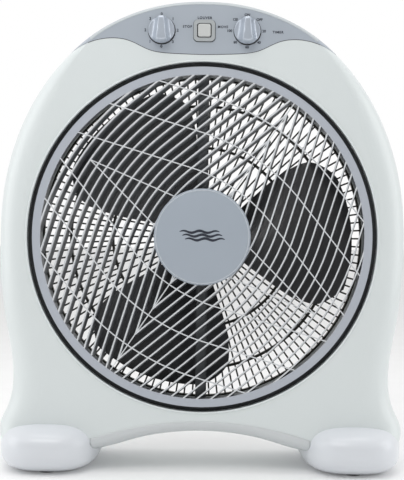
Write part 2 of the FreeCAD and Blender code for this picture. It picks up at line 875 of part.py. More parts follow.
turned("motor_front_bell", "motor_front - 5",
       [("bearing_radius", "0"), ("12", "0"), ("12", "5"), ("34", "5"), ("motor_radius", "12"),
        ("motor_radius", "31"), ("stator_outer", "31"), ("stator_outer", "13.5"),
        ("33", "7.5"), ("11.5", "7.5"), ("11.5", "8.2"), ("bearing_radius", "8.2")])


def make_rear_bell():
    split = size("motor_split")
    back = size("motor_back")
    outer = size("motor_radius")
    inner = size("stator_outer")
    profile = [(inner, split), (outer, split), (outer, back - 8), (34, back), (0, back),
               (0, back - 1.5), (8, back - 1.5), (8, back - 10), (11.5, back - 10),
               (11.5, back - 2.5), (33, back - 2.5), (inner, back - 9), (inner, split)]
    face = Part.Face(Part.makePolygon([Vector(r, y, AXIS_Z) for r, y in profile]))
    bell = face.revolve(Vector(0, 0, AXIS_Z), Vector(0, 1, 0), 360)
    return bell.cut(bell_holes(back - 5, back + 1))


free_shape("motor_rear_bell", make_rear_bell())


def make_stator():
    low = size("stack_front")
    high = low + size("stack_depth")
    stack = tube(size("stator_outer"), size("stator_inner"), low, high)
    slots = []
    for k in range(12):
        x, z = on_circle(30.5, 30 * k)
        slots.append(rod(4.2, low - 1, high + 1, x, AXIS_Z + z))
        mouth = block(size("stator_inner") - 2, 29, low - 1, high + 1, -1, 1)
        mouth.rotate(Vector(0, 0, 0), Vector(0, 1, 0), -30 * k)
        mouth.translate(Vector(0, 0, AXIS_Z))
        slots.append(mouth)
    return stack.cut(slots)


free_shape("motor_stator", make_stator())


def make_coils():
    """The two end windings, one on each side of the stack."""
    low = size("stack_front")
    high = low + size("stack_depth")
    rings = [Part.makeTorus(30.5, 4.4, Vector(0, y, AXIS_Z), Vector(0, 1, 0))
             for y in (low - 4.6, high + 4.6)]
    return Part.makeCompound(rings)


free_shape("motor_coils", make_coils())
sleeve("rotor_core", "rotor_radius", "shaft_radius", "stack_depth", "stack_front")
sleeve("bearing_front", "bearing_radius", "shaft_radius + 0.05", "bearing_length",
       "motor_front - 5")
sleeve("bearing_rear", "bearing_radius", "shaft_radius + 0.05", "bearing_length",
       "motor_back - 10")


def make_washers():
    front = size("motor_front") - 5 + size("bearing_length") + 0.3
    back = size("motor_back") - 10 - 0.3
    radius = size("shaft_radius")
    return Part.makeCompound([tube(7, radius, front, front + 1), tube(7, radius, back - 1, back)])


free_shape("thrust_washers", make_washers())


# ---------------------------------------------------------------- rear grille

def arc_between(radius, first, last, y):
    ends = [on_circle(radius, degrees) for degrees in (first, (first + last) / 2, last)]
    return Part.Arc(*[Vector(x, y, z) for x, z in ends]).toShape()


def grille_cells(inner, outer, count, y):
    """Openings between spokes of even width and two rings."""
    half = size("spoke_width") / 2
    wires = []
    for number in range(count):
        first = 360.0 * number / count
        last = 360.0 * (number + 1) / count
        corners = []
        for radius in (inner, outer):
            trim = math.degrees(math.asin(half / radius))
            corners.append((first + trim, last - trim))
        low = arc_between(inner, *corners[0], y)
        high = arc_between(outer, *corners[1], y)
        left = Part.makeLine(low.Vertexes[0].Point, high.Vertexes[0].Point)
        right = Part.makeLine(low.Vertexes[-1].Point, high.Vertexes[-1].Point)
        wires.append(Part.Wire(Part.__sortEdges__([low, right, high, left])))
    return wires


def eared_outline(y):
    """Edge of the grille's disc with a round ear at each of its four corners."""
    radius = size("grille_radius")
    cosine = (radius ** 2 + EAR_CENTRE ** 2 - EAR_RADIUS ** 2) / (2 * radius * EAR_CENTRE)
    half = math.degrees(math.acos(cosine))
    edges = []
    for degrees in GRILLE_EARS:
        (x0, z0), (x1, z1) = on_circle(radius, degrees - half), on_circle(radius, degrees + half)
        x, z = on_circle(EAR_CENTRE + EAR_RADIUS, degrees)
        edges.append(Part.Arc(Vector(x0, y, z0), Vector(x, y, z), Vector(x1, y, z1)).toShape())
        edges.append(arc_between(radius, degrees + half, degrees + 90 - half, y))
    return Part.Wire(Part.__sortEdges__(edges))


def make_rear_grille():
    seat = size("back_depth") - size("grille_seat")
    half = size("grille_ring") / 2
    axis = Vector(0, 1, 0)
    plate = size("grille_plate")
    rings = (plate, size("grille_inner_ring"), size("grille_middle_ring"), size("grille_rim"))
    wires = [eared_outline(seat)]
    wires += grille_cells(rings[0], rings[1] - half, 60, seat)
    wires += grille_cells(rings[1] + half, rings[2] - half, 120, seat)
    wires += grille_cells(rings[2] + half, rings[3], 120, seat)
    for k in range(4):
        x, z = on_circle(bell_screw_ring, 45 + 90 * k)
        wires.append(Part.Wire(Part.makeCircle(2, Vector(x, seat, z), axis)))
        x, z = on_circle(EAR_CENTRE, GRILLE_EARS[k])
        wires.append(Part.Wire(Part.makeCircle(1.7, Vector(x, seat, z), axis)))
    face = Part.makeFace(wires, "Part::FaceMakerCheese")
    return face.extrude(Vector(0, size("grille_seat"), 0))


free_shape("rear_grille", make_rear_grille(), Placement(Vector(0, 0, AXIS_Z), Rotation()))


# ---------------------------------------------------------------- controls

panel_back = "0 - face_depth + skin"
CONTROL_Z = size("control_height")
KNOB_X = size("knob_spacing")


def make_knob(x):
    """Hollow skirt with a grip that widens from its pointer end downwards."""
    radius = size("knob_radius")
    back = -size("face_depth") - 0.6
    middle = back - size("knob_skirt")
    front = back - size("knob_rise")
    skirt = rod(radius, middle, back, x, CONTROL_Z)
    rim = [edge for edge in skirt.Edges if edge.BoundBox.YMax < middle + 0.1]
    skirt = skirt.makeFillet(1.2, rim)
    top, waist, foot = (2.0, 13.9), (3.3, -2.0), (6.6, -13.2)
    left = [Vector(x - half, middle - 12, CONTROL_Z + rise) for half, rise in (top, waist, foot)]
    right = [Vector(x + half, middle - 12, CONTROL_Z + rise) for half, rise in (top, waist, foot)]
    edges = [Part.Arc(*left).toShape(), Part.Arc(*right).toShape(),
             Part.makeLine(left[0], right[0]), Part.makeLine(left[2], right[2])]
    grip = Part.Face(Part.Wire(Part.__sortEdges__(edges))).extrude(Vector(0, 14, 0))
    envelope = rod(radius - 0.4, front, middle + 1, x, CONTROL_Z)
    crown = [edge for edge in envelope.Edges if edge.BoundBox.YMax < front + 0.1]
    envelope = envelope.makeFillet(5.0, crown)
    knob = skirt.fuse(grip.common(envelope))
    hollow = rod(radius - 1.8, back - 2.6, back + 1, x, CONTROL_Z)
    bore = rod(size("spindle_radius"), back - 9, back + 1, x, CONTROL_Z)
    return knob.cut([hollow, bore])


def spindle(label, x):
    keep(cylinder_object(label + "_rod", "spindle_radius", "knob_rise - 1.5",
                         "0 - face_depth - 0.6 - 9", x, "control_height"), label)


free_shape("speed_knob", biggest_solid(make_knob(-KNOB_X)))
free_shape("timer_knob", biggest_solid(make_knob(KNOB_X)))
spindle("speed_switch_shaft", "- knob_spacing")
spindle("timer_shaft", "knob_spacing")


def make_switch(x, half_width, half_height, depth, bushing_front):
    """Switch body behind the panel with a bushing that passes through it."""
    front = -size("face_depth") + SKIN
    body = block(x - half_width, x + half_width, front, front + depth,
                 CONTROL_Z - half_height, CONTROL_Z + half_height)
    upright = [edge for edge in body.Edges if edge.Length > depth - 0.1
               and abs(edge.BoundBox.YLength - depth) < 0.1]
    body = body.makeFillet(2.0, upright)
    body = body.fuse(rod(size("bushing_radius"), bushing_front, front, x, CONTROL_Z))
    return body.cut(rod(size("spindle_radius") + 0.05, -80, front + 1.6 + 2, x, CONTROL_Z))


face_y = -size("face_depth")
speed_switch = make_switch(-KNOB_X, 15, 14, 18, face_y - 2.6)
free_shape("speed_switch_body", speed_switch)
timer_holes = [rod(1.6, face_y, face_y + 12, KNOB_X, CONTROL_Z + side * TIMER_SCREW_RISE)
               for side in (-1, 1)]
free_shape("timer_body", make_switch(KNOB_X, 20, 16, 32, face_y - 0.2).cut(timer_holes))
switch_nut = hexagon(13, face_y - 2.4, face_y, -KNOB_X, CONTROL_Z)
free_shape("speed_switch_nut",
           switch_nut.cut(rod(size("bushing_radius"), -80, 0, -KNOB_X, CONTROL_Z)))


def rounded_block(half, low, high, radius, x=0.0):
    body = block(x - half, x + half, low, high, CONTROL_Z - half, CONTROL_Z + half)
    upright = [edge for edge in body.Edges if abs(edge.BoundBox.YLength - (high - low)) < 0.01]
    return body.makeFillet(radius, upright)


PIVOT_Y = -60.0
window = size("button_half") + 1.0


def make_bezel():
    half = size("bezel_half")
    flange = rounded_block(half, face_y - 1.8, face_y, 5.0)
    body = rounded_block(half - 1.7, face_y, face_y + 6, 1.0)
    pins = [Part.makeCylinder(1.3, 2 * window + 2.4, Vector(0, PIVOT_Y, CONTROL_Z - window - 1.2))]
    return flange.fuse(body).cut([rounded_block(window, face_y - 5, face_y + 8, 2.5)] + pins)


free_shape("switch_bezel", make_bezel())


def make_button():
    """Square rocker on two stub pins, pressed in on its left side at rest."""
    half = size("button_half")
    button = rounded_block(half, -65.4, -58.4, 2.2)
    front_edges = [edge for edge in button.Edges if edge.BoundBox.YMax < -65.3]
    button = button.makeFillet(0.9, front_edges)
    pins = Part.makeCylinder(1.2, 2 * window + 2, Vector(0, PIVOT_Y, CONTROL_Z - window - 1))
    button = button.fuse(pins)
    button.rotate(Vector(0, PIVOT_Y, CONTROL_Z), Vector(0, 0, 1), -size("rocker_tilt"))
    return button


free_shape("louver_rocker", make_button())
box_object("louver_switch_box", ("19", "17", "19"), "0 - face_depth + 6")
keep(doc.getObject("louver_switch_box"), "louver_switch_body")


# ---------------------------------------------------------------- electrics

box_object("capacitor_box", ("36", "18", "27"), "- 31", "- knob_spacing", "control_height")
keep(doc.getObject("capacitor_box"), "motor_capacitor")


def make_saddle():
    """Bracket that stands on the duct and carries the capacitor."""
    low = CONTROL_Z - 13.5 - 28
    body = block(-KNOB_X - 20, -KNOB_X + 20, -33, -11, low, CONTROL_Z - 13.5)
    lips = [block(x - 1, x + 1, -33, -11, CONTROL_Z - 14, CONTROL_Z - 4)
            for x in (-KNOB_X - 19, -KNOB_X + 19)]
    hollow = block(-KNOB_X - 17, -KNOB_X + 17, -34, -10, low - 1, CONTROL_Z - 16)
    return body.multiFuse(lips).cut([hollow, rod(size("duct_radius") + SKIN, -40, 0)])


free_shape("capacitor_bracket", biggest_solid(make_saddle()))

GLAND_X, GLAND_Z = GLAND_PLACE
back_y = size("back_depth")


def make_gland():
    """Empty bush where a mains lead would enter."""
    bush = rod(GLAND_RADIUS - 0.1, back_y - 8, back_y + 0.5, GLAND_X, GLAND_Z)
    bush = bush.fuse(rod(9, back_y, back_y + 3, GLAND_X, GLAND_Z))
    return bush.cut(rod(3.4, back_y - 10, back_y + 5, GLAND_X, GLAND_Z))


free_shape("cord_gland", make_gland())


def make_terminal_block():
    low = back_y - SKIN - 15
    body = block(GLAND_X - 34, GLAND_X - 12, low, back_y - SKIN, GLAND_Z - 9, GLAND_Z + 5)
    wells = [rod(2, low - 1, low + 7, GLAND_X - 29 + 6 * k, GLAND_Z - 2) for k in range(3)]
    return body.cut(wells)


free_shape("terminal_block", make_terminal_block())


# ---------------------------------------------------------------- feet and fasteners

def pads():
    discs = [Part.makeCylinder(PAD_RADIUS, 2.0, Vector(side * FOOT_SCREW_X, direction * 56, 0))
             for side in (-1, 1) for direction in (-1, 1)]
    rounded = []
    for disc in discs:
        rim = [edge for edge in disc.Edges if edge.BoundBox.ZMax < 0.1]
        rounded.append(disc.makeFillet(0.5, rim))
    return Part.makeCompound(rounded)


free_shape("foot_pads", pads())


def screw(start, direction, length, shank, head, head_height):
    """Screw with a domed, cross-slotted head; start is under its head."""
    body = Part.makeCylinder(shank, length, start, direction)
    away = direction * -1
    cap = Part.makeCylinder(head, head_height, start, away)
    top = start + away * head_height
    rim = [edge for edge in cap.Edges if (edge.CenterOfMass - top).Length < 0.01]
    cap = cap.makeFillet(head_height * 0.45, rim)
    turn = Rotation(Vector(0, 0, 1), direction)
    slots = []
    for width, high in ((head * 1.1, 0.7), (0.7, head * 1.1)):
        slot = Part.makeBox(width, high, 1.2, Vector(-width / 2, -high / 2, -0.6))
        slot.Placement = Placement(top, turn).multiply(slot.Placement)
        slots.append(slot)
    return body.fuse(cap.cut(slots))


SHANK = size("screw_radius")
HEAD = size("screw_head")
FORWARD = Vector(0, -1, 0)


def rear_screws(places, under_head, length, shank=SHANK, head=HEAD):
    return Part.makeCompound([screw(Vector(x, under_head, z), FORWARD, length, shank, head, 2.4)
                              for x, z in places])


def ring_places(radius, angles):
    return [(on_circle(radius, degrees)[0], AXIS_Z + on_circle(radius, degrees)[1])
            for degrees in angles]


free_shape("shell_screws", rear_screws(corner_posts(), HEAD_SEAT, 52))
panel_places = [(-PANEL_POSTS[0], PANEL_POSTS[1]), PANEL_POSTS]
free_shape("panel_screws", rear_screws(panel_places, HEAD_SEAT, 44))
free_shape("grille_screws", rear_screws(ring_places(EAR_CENTRE, GRILLE_EARS), back_y, 15, 1.5))
motor_angles = [45 + 90 * k for k in range(4)]
free_shape("motor_screws", rear_screws(ring_places(bell_screw_ring, motor_angles), back_y, 8.4))

BACKWARD = Vector(0, 1, 0)
UPWARD = Vector(0, 0, 1)
free_shape("foot_screws", Part.makeCompound([
    screw(Vector(side * FOOT_SCREW_X, direction * FOOT_SCREW_Y, 20), UPWARD, 46, SHANK, HEAD, 2.4)
    for side in (-1, 1) for direction in (-1, 1)]))
ear_y = -size("bridge_front") - 5.7
free_shape("louver_motor_screws", Part.makeCompound([
    screw(Vector(side * 30.5, ear_y, AXIS_Z), BACKWARD, 10, 1.5, 3.0, 1.8) for side in (-1, 1)]))
free_shape("timer_screws", Part.makeCompound([
    screw(Vector(KNOB_X, face_y, CONTROL_Z + side * TIMER_SCREW_RISE), BACKWARD, 9, 1.5, 2.8, 1.6)
    for side in (-1, 1)]))
tab_z = size("duct_radius") - 4.2
free_shape("bridge_screws", Part.makeCompound([
    screw(Vector(0, -size("bridge_front") + 14, AXIS_Z + side * tab_z), UPWARD * side,
          7.4, SHANK, 3.4, 2.0) for side in (-1, 1)]))


# ---------------------------------------------------------------- check and write

doc.recompute()
for item in doc.Objects:
    bad = [state for state in item.State if state in ("Invalid", "Error")]
    if bad:
        raise RuntimeError("%s failed: %s" % (item.Label, bad))
os.makedirs("parts", exist_ok=True)
for item in nodes:
    shape = item.Shape
    if shape.isNull() or not shape.isValid() or not shape.Solids:
        raise RuntimeError("%s has no valid solid" % item.Label)
for item in nodes:
    item.Shape.exportStep("parts/%s.step" % item.Label)
print("%d pieces written" % len(nodes))
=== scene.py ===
import json
import math

import bmesh
import bpy
from mathutils import Matrix, Vector
from mathutils.bvhtree import BVHTree


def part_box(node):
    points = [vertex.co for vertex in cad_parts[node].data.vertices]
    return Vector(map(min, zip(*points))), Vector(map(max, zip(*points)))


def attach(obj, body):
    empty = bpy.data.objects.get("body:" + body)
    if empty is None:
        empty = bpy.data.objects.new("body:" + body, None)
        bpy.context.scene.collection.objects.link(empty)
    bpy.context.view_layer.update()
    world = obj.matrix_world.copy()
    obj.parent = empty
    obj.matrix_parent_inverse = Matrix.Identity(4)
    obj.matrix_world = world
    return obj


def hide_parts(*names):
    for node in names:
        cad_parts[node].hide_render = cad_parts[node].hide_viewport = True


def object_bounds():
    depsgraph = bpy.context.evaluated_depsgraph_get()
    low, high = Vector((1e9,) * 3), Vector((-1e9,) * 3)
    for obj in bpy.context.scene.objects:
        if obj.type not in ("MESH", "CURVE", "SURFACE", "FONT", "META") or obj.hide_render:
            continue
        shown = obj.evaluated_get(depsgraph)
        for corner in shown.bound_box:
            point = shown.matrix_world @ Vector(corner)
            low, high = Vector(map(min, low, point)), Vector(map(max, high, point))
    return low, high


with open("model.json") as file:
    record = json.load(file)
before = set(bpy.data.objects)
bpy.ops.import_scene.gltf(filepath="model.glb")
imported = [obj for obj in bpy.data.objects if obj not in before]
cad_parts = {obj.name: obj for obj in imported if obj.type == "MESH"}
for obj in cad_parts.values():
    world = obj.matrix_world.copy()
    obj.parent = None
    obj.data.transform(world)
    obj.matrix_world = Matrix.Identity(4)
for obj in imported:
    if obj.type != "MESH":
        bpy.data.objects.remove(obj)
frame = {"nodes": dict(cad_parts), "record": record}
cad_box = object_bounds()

# ---------------------------------------------------------------- places from the frame

scene = bpy.context.scene
nodes = frame["nodes"]
LOW, HIGH = cad_box
CAP_LOW, CAP_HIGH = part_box("louver_cap")
AXIS = (CAP_LOW + CAP_HIGH) / 2
FACE_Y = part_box("front_shell")[0].y
PANEL_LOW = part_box("control_panel")[0]
KNOBS = {name: (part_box(name)[0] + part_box(name)[1]) / 2 for name in ("speed_knob", "timer_knob")}
LOUVER_LOW, LOUVER_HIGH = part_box("louver_grille")
LOUVER_FRONT = LOUVER_LOW.y
LOUVER_RING_WIDTH = 0.009
LOUVER_RING = (LOUVER_HIGH.x - LOUVER_LOW.x) / 2 - LOUVER_RING_WIDTH

# Widest joint between two nodes that a surface search still counts as closed, and how far the
# flat face may waver
JOINT_GAP = 0.0006
FACE_SLACK = 0.0003

# Painted highlight on the crown, a thin pale band on the rounded edge: degrees above level where it
# starts, how far it reaches back and onto the face
RIM_START = 60.0
RIM_DEPTH = 0.0050
RIM_OVERLAP = 0.0012
RIM_PROUD, RIM_SUNK = 0.00014, 0.0004
RIM_STEPS = 200
RIM_POINTS = 8

# Band along the arch, coloured as painted shade on its bevel: half length, height and fall of its
# crease, how far back and down it goes
ARCH_HALF = 0.130
ARCH_CREASE = 0.0582
ARCH_FALL = 0.0226
ARCH_DEPTH = 0.0095
ARCH_TALLEST = 0.03
ARCH_SEARCH = 0.0005
ARCH_PROUD, ARCH_SUNK = 0.00050, 0.0006
ARCH_STEPS = 120
ARCH_POINTS = 8

# ---------------------------------------------------------------- camera, light and stage

CAMERA_DISTANCE = 1.10
CAMERA_LENS = 87.5
CAMERA_ROLL = -0.6
CAMERA_SHIFT = Vector((-0.0002, 0, -0.0035))

# Brightness of the light tent from the viewer's side (share 0) to behind the object (share 1)
TENT_SHARES = (0.0, 0.45, 0.90, 0.95, 1.0)
TENT_LEVELS = (0.24, 0.88, 0.88, 1.0, 1.0)

FLOOR_REACH = 30.0
FLOOR_GLOW = 0.07


def make_camera():
    """Level view of the front from 1.1 m, rolled by about half a degree."""
    data = bpy.data.cameras.new("camera")
    data.sensor_fit = "HORIZONTAL"
    data.sensor_width = 36.0
    data.lens = CAMERA_LENS
    camera = bpy.data.objects.new("camera", data)
    scene.collection.objects.link(camera)
    place = Vector((0, FACE_Y - CAMERA_DISTANCE, AXIS.z)) + CAMERA_SHIFT
    camera.matrix_world = (Matrix.Translation(place)
                           @ Matrix.Rotation(math.radians(CAMERA_ROLL), 4, "Y")
                           @ Matrix.Rotation(math.radians(90), 4, "X"))
    scene.camera = camera


def area_light(name, place, target, width, height, power):
    """Soft rectangular light at a place, turned towards a target."""
    data = bpy.data.lights.new(name, "AREA")
    data.shape = "RECTANGLE"
    data.size = width
    data.size_y = height
    data.energy = power
    light = bpy.data.objects.new(name, data)
    scene.collection.objects.link(light)
    light.location = place
    light.rotation_euler = (Vector(target) - Vector(place)).to_track_quat("-Z", "Y").to_euler()


def make_light():
    """A light tent: bright behind and at the sides, darker on the viewer's side."""
    world = bpy.data.worlds.new("studio")
    scene.world = world
    world.use_nodes = True
    tree = world.node_tree
    background = tree.nodes["Background"]
    place = tree.nodes.new("ShaderNodeTexCoord")
    split = tree.nodes.new("ShaderNodeSeparateXYZ")
    share = tree.nodes.new("ShaderNodeMapRange")
    share.inputs["From Min"].default_value = -1.0
    share.inputs["From Max"].default_value = 1.0
    ramp = tree.nodes.new("ShaderNodeValToRGB")
    stops = ramp.color_ramp.elements
    stops[0].position = TENT_SHARES[0]
    stops[1].position = TENT_SHARES[-1]
    for share_of_turn in TENT_SHARES[1:-1]:
        stops.new(share_of_turn)
    for stop, level in zip(stops, TENT_LEVELS):
        stop.color = (level, level, level, 1)
    tree.links.new(place.outputs["Generated"], split.inputs[0])
    tree.links.new(split.outputs["Y"], share.inputs["Value"])
    tree.links.new(share.outputs["Result"], ramp.inputs["Fac"])
    tree.links.new(ramp.outputs["Color"], background.inputs["Color"])
    background.inputs["Strength"].default_value = 1.0
    centre = (0, 0, AXIS.z)
    upper_face = (0, 0, AXIS.z + 0.1)
    area_light("left_rim", (-1.5, -0.15, 0.6), centre, 1.0, 1.2, 4.6)
    area_light("right_rim", (1.5, -0.15, 0.6), centre, 1.0, 1.2, 4.8)
    area_light("top_rim", (0, -0.1, 1.8), centre, 1.4, 0.7, 5.4)
    area_light("front_key", (-0.25, -0.85, 1.15), upper_face, 0.9, 0.5, 4.4)
    scene.view_settings.view_transform = "Standard"


def make_floor():
    """Plain pale floor with a faint glow of its own."""
    mesh = bpy.data.meshes.new("floor")
    build = bmesh.new()
    bmesh.ops.create_grid(build, x_segments=8, y_segments=8, size=FLOOR_REACH)
    build.to_mesh(mesh)
    build.free()
    floor = bpy.data.objects.new("floor", mesh)
    scene.collection.objects.link(floor)
    paint = plastic("floor_paint", (0.86, 0.86, 0.86), 0.7, grain=60.0, grain_depth=0.0)
    shader = paint.node_tree.nodes["Principled BSDF"]
    shader.inputs["Emission Color"].default_value = (1.0, 1.0, 1.0, 1)
    shader.inputs["Emission Strength"].default_value = FLOOR_GLOW
    floor.data.materials.append(paint)


# ---------------------------------------------------------------- materials

CLOUD_SCALE = 14.0
CLOUD_DETAIL = 4.0
GRAIN_DETAIL = 3.0
GRAIN_HEIGHT = 0.0004
MIX_FACTOR, MIX_FIRST, MIX_SECOND, MIX_RESULT = 0, 6, 7, 2

# Painted highlight for the vanes' front edges, painted shade for their bodies, and the depths behind
# the front over which the one gives way to the other
VANE_EDGE_HIGHLIGHT = (0.64, 0.66, 0.68, 1)
VANE_BODY_SHADE = (0.20, 0.21, 0.225, 1)
VANE_HIGHLIGHT_DEPTHS = (0.0004, 0.0040)
RING_BLUR = 0.0002


def colour_mix(tree):
    """A node that mixes two colours."""
    mix = tree.nodes.new("ShaderNodeMix")
    mix.data_type = "RGBA"
    return mix


def plastic(name, colour, roughness, grain=900.0, grain_depth=0.02, tint=0.03,
            rough_span=0.08, coat=0.0, metal=0.0):
    """Moulded surface: faint colour clouding, uneven gloss and a fine moulded grain."""
    material = bpy.data.materials.new(name)
    material.use_nodes = True
    tree = material.node_tree
    shader = tree.nodes["Principled BSDF"]
    link = tree.links.new
    place = tree.nodes.new("ShaderNodeTexCoord")

    clouds = tree.nodes.new("ShaderNodeTexNoise")
    clouds.inputs["Scale"].default_value = CLOUD_SCALE
    clouds.inputs["Detail"].default_value = CLOUD_DETAIL
    link(place.outputs["Object"], clouds.inputs["Vector"])
    shade = colour_mix(tree)
    shade.inputs[MIX_FIRST].default_value = (*[c * (1 - tint) for c in colour], 1)
    shade.inputs[MIX_SECOND].default_value = (*[min(1.0, c * (1 + tint)) for c in colour], 1)
    link(clouds.outputs["Fac"], shade.inputs[MIX_FACTOR])
    link(shade.outputs[MIX_RESULT], shader.inputs["Base Color"])

    gloss = tree.nodes.new("ShaderNodeMapRange")
    gloss.inputs["To Min"].default_value = max(0.02, roughness - rough_span)
    gloss.inputs["To Max"].default_value = min(1.0, roughness + rough_span)
    link(clouds.outputs["Fac"], gloss.inputs["Value"])
    link(gloss.outputs["Result"], shader.inputs["Roughness"])

    if grain_depth > 0:
        fine = tree.nodes.new("ShaderNodeTexNoise")
        fine.inputs["Scale"].default_value = grain
        fine.inputs["Detail"].default_value = GRAIN_DETAIL
        link(place.outputs["Object"], fine.inputs["Vector"])
        bump = tree.nodes.new("ShaderNodeBump")
        bump.inputs["Strength"].default_value = grain_depth
        bump.inputs["Distance"].default_value = GRAIN_HEIGHT
        link(fine.outputs["Fac"], bump.inputs["Height"])
        link(bump.outputs["Normal"], shader.inputs["Normal"])

    shader.inputs["Metallic"].default_value = metal
    shader.inputs["Coat Weight"].default_value = coat
    return material


def paint_vane_highlight_and_shade(material):
    """Painted highlight on the vanes' front edges and painted shade on their bodies, switched by
    depth behind the front, inside a plain mid-grey ring.
    """
    tree = material.node_tree
    link = tree.links.new
    shader = tree.nodes["Principled BSDF"]
    ring_colour = shader.inputs["Base Color"].links[0].from_socket
    place = tree.nodes.new("ShaderNodeTexCoord")
    split = tree.nodes.new("ShaderNodeSeparateXYZ")
    link(place.outputs["Object"], split.inputs[0])

    depth = tree.nodes.new("ShaderNodeMapRange")
    depth.interpolation_type = "SMOOTHSTEP"
    depth.inputs["From Min"].default_value = LOUVER_FRONT + VANE_HIGHLIGHT_DEPTHS[0]
    depth.inputs["From Max"].default_value = LOUVER_FRONT + VANE_HIGHLIGHT_DEPTHS[1]
    link(split.outputs["Y"], depth.inputs["Value"])
    vane_shading = colour_mix(tree)
    vane_shading.inputs[MIX_FIRST].default_value = VANE_EDGE_HIGHLIGHT
    vane_shading.inputs[MIX_SECOND].default_value = VANE_BODY_SHADE
    link(depth.outputs["Result"], vane_shading.inputs[MIX_FACTOR])

    flat = tree.nodes.new("ShaderNodeCombineXYZ")
    rise = tree.nodes.new("ShaderNodeMath")
    rise.operation = "SUBTRACT"
    rise.inputs[1].default_value = AXIS.z
    link(split.outputs["Z"], rise.inputs[0])
    link(split.outputs["X"], flat.inputs["X"])
    link(rise.outputs[0], flat.inputs["Z"])
    radius = tree.nodes.new("ShaderNodeVectorMath")
    radius.operation = "LENGTH"
    link(flat.outputs[0], radius.inputs[0])
    is_ring = tree.nodes.new("ShaderNodeMapRange")
    is_ring.inputs["From Min"].default_value = LOUVER_RING - RING_BLUR
    is_ring.inputs["From Max"].default_value = LOUVER_RING + RING_BLUR
    link(radius.outputs["Value"], is_ring.inputs["Value"])
    both = colour_mix(tree)
    link(is_ring.outputs["Result"], both.inputs[MIX_FACTOR])
    link(vane_shading.outputs[MIX_RESULT], both.inputs[MIX_FIRST])
    link(ring_colour, both.inputs[MIX_SECOND])
    link(both.outputs[MIX_RESULT], shader.inputs["Base Color"])


SHELL = plastic("shell_plastic", (0.69, 0.735, 0.735), 0.32, tint=0.012, rough_span=0.03,
                coat=0.15)
FOOT = plastic("foot_plastic", (0.70, 0.725, 0.76), 0.30, tint=0.008, rough_span=0.02,
               coat=0.25)
PANEL = plastic("panel_plastic", (0.385, 0.425, 0.475), 0.38, grain_depth=0.06)
LOUVER = plastic("louver_plastic", (0.43, 0.46, 0.51), 0.40)
paint_vane_highlight_and_shade(LOUVER)
CAP = plastic("cap_plastic", (0.355, 0.40, 0.455), 0.36, grain_depth=0.05)
GRILLE = plastic("grille_plastic", (0.055, 0.052, 0.042), 0.5)
BLADE = plastic("blade_plastic", (0.085, 0.086, 0.091), 0.35, coat=0.1)
BRIDGE = plastic("bridge_plastic", (0.17, 0.18, 0.19), 0.45)
KNOB = plastic("knob_plastic", (0.50, 0.55, 0.62), 0.28, coat=0.3, metal=0.45)
BUTTON = plastic("button_plastic", (0.56, 0.575, 0.565), 0.30, coat=0.2)
BEZEL = plastic("bezel_plastic", (0.40, 0.425, 0.435), 0.38)
BLACK = plastic("black_plastic", (0.012, 0.012, 0.013), 0.45)
NYLON = plastic("nylon", (0.70, 0.69, 0.62), 0.45)
STEEL = plastic("bright_steel", (0.56, 0.56, 0.57), 0.25, metal=1.0, grain_depth=0.05)
ZINC = plastic("zinc_plate", (0.62, 0.60, 0.52), 0.35, metal=1.0, grain_depth=0.08)
ENAMEL = plastic("motor_enamel", (0.07, 0.073, 0.078), 0.4, coat=0.2)
STACK = plastic("lamination_steel", (0.10, 0.09, 0.085), 0.5, metal=0.8)
COPPER = plastic("copper_wire", (0.50, 0.16, 0.06), 0.35, metal=1.0)
BRONZE = plastic("sintered_bronze", (0.42, 0.26, 0.10), 0.5, metal=1.0)
INK = plastic("printing_ink", (0.016, 0.020, 0.034), 0.5, grain_depth=0.0)
# Lighter than the panel: painted highlight for the top-lit rounding of the crown
CROWN_HIGHLIGHT = plastic("crown_painted_highlight", (0.47, 0.51, 0.53), 0.34, coat=0.1)
RING_SHADE = plastic("ring_shade", (0.056, 0.058, 0.061), 0.5)
CAP_BEAD = plastic("cap_bead_plastic", (0.50, 0.54, 0.58), 0.3)
# Greyer copy of the shell plastic: painted shade on the arch bevel
ARCH_SHADE = plastic("arch_painted_shade", (0.60, 0.625, 0.635), 0.30, tint=0.012, coat=0.2)
# Near black for joints: partly the dark joint itself, partly painted shadow
JOINT_SHADOW = plastic("seam_shadow", (0.07, 0.075, 0.08), 0.6, grain_depth=0.0)
RUBBER = plastic("rubber", (0.018, 0.018, 0.018), 0.8, grain_depth=0.2)

SLOT_MATERIALS = {
    "shell_white": SHELL, "panel_grey": PANEL, "louver_grey": LOUVER, "cap_blue_grey": CAP,
    "grille_dark": GRILLE, "blade_charcoal": BLADE, "bridge_grey": BRIDGE, "knob_grey": KNOB,
    "button_grey": BUTTON, "bezel_grey": BEZEL, "black_plastic": BLACK, "nylon_white": NYLON,
    "steel_bright": STEEL, "steel_plated": ZINC, "motor_bell": ENAMEL, "laminations": STACK,
    "copper": COPPER, "bronze": BRONZE, "rubber_foot": RUBBER,
}


def dress_nodes():
    """Give every CAD node the material of its slot; feet and duct ring have their own."""
    slots = {entry["node"]: entry["material_slot"] for entry in frame["record"]["subparts"]}
    for name, item in nodes.items():
        material = SLOT_MATERIALS[slots[name]]
        if name.startswith("foot_") and slots[name] == "shell_white":
            material = FOOT
        # The duct ring's near-black colour is painted shade in the gap behind the louver ring
        if name == "duct_ring":
            material = RING_SHADE
        item.data.materials.clear()
        item.data.materials.append(material)


# ---------------------------------------------------------------- mesh helpers

# How far in front of the object a surface search starts
RAY_LEAD = 0.05


